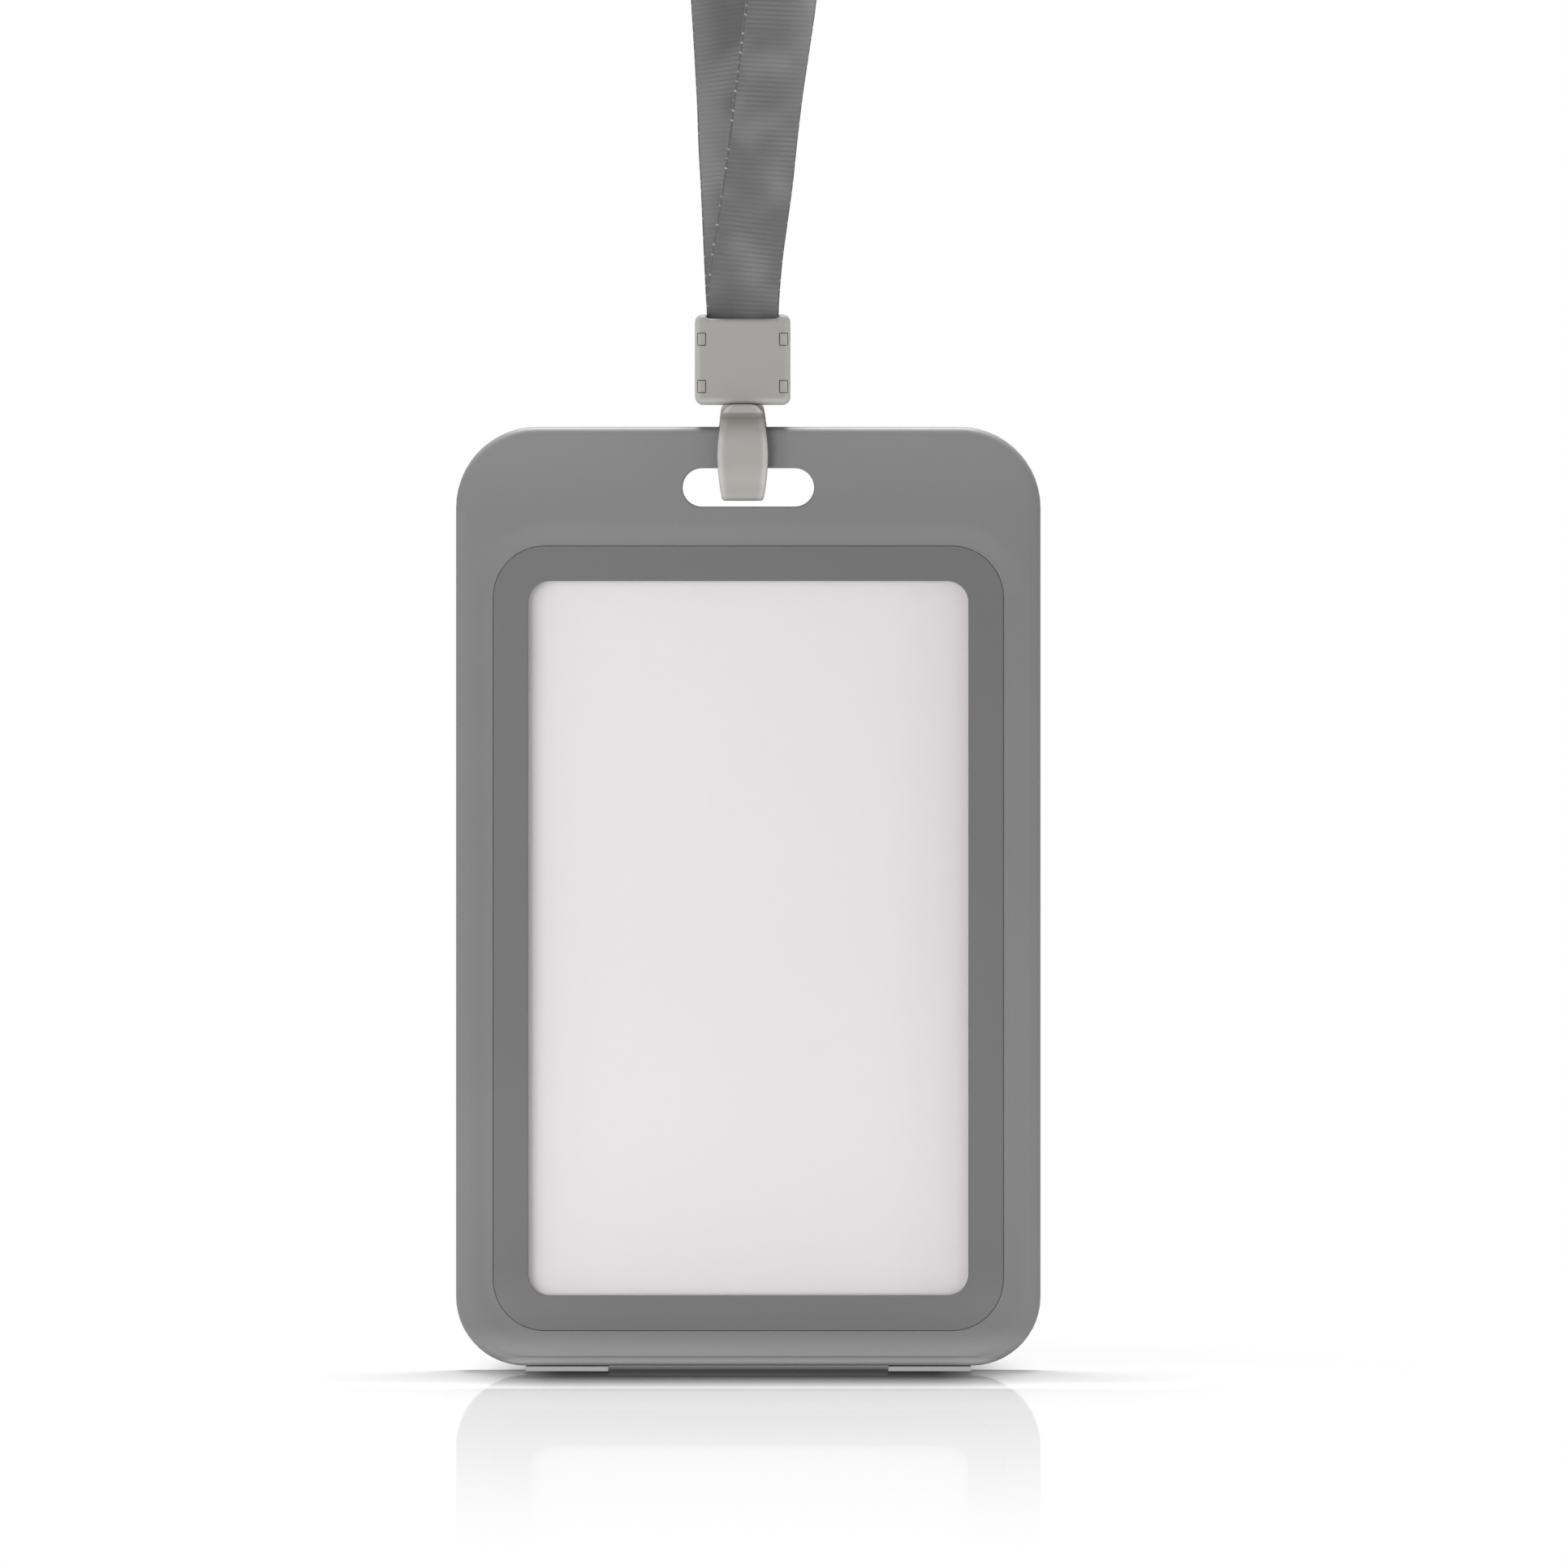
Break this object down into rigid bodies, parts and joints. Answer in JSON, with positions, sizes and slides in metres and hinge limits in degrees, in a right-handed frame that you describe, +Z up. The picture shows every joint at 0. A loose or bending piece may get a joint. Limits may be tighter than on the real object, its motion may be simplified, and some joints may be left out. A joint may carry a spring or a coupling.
{
  "type": "badge holder",
  "caption": "Rigid upright badge holder with a clear window and a sliding back tray, hanging from a ribbon loop by a snap clasp and a swivel hook with a sprung tongue.",
  "frame": {"origin": "top of the lanyard's loop, where the holder is hung", "axes": "+X to the right seen from the front, +Y from the window to the back, +Z up"},
  "size_m": [0.068, 0.0362, 0.2002],
  "materials": {
    "ribbon": "ribbed satin weave",
    "clasp_plastic": "satin moulded",
    "hook_plastic": "satin moulded",
    "frame_plastic": "fine matte moulded",
    "bezel_plastic": "fine matte moulded",
    "clear_pane": "clear, glossy",
    "card": "blank, satin"
  },
  "bodies": {
    "clasp": {"lanyard": "ribbon", "clasp_front": "clasp_plastic", "clasp_back": "clasp_plastic"},
    "hook": {"hook": "hook_plastic"},
    "tongue": {"hook_tongue": "hook_plastic"},
    "holder": {"front_cover": "frame_plastic", "window_bezel": "bezel_plastic", "window_pane": "clear_pane"},
    "tray": {"back_tray": "frame_plastic", "card_insert": "card"}
  },
  "joints": [
    {"name": "hook_swivel", "type": "hinge", "parent": "clasp", "child": "hook", "pos_m": [-0.00065, 0, -0.0874], "axis": [0, 0, 1], "continuous": true},
    {"name": "tongue_flex", "type": "hinge", "parent": "hook", "child": "tongue", "pos_m": [-0.00065, -0.0018, -0.09821], "axis": [1, 0, 0], "range_deg": [0, 18], "stiffness_Nm_per_rad": 0.1},
    {"name": "holder_swing", "type": "hinge", "parent": "hook", "child": "holder", "pos_m": [-0.00065, 0, -0.0948], "axis": [1, 0, 0], "range_deg": [-8, 8]},
    {"name": "tray_slide", "type": "slide", "parent": "holder", "child": "tray", "axis": [0, 0, -1], "range_m": [0, 0.06]}
  ]
}
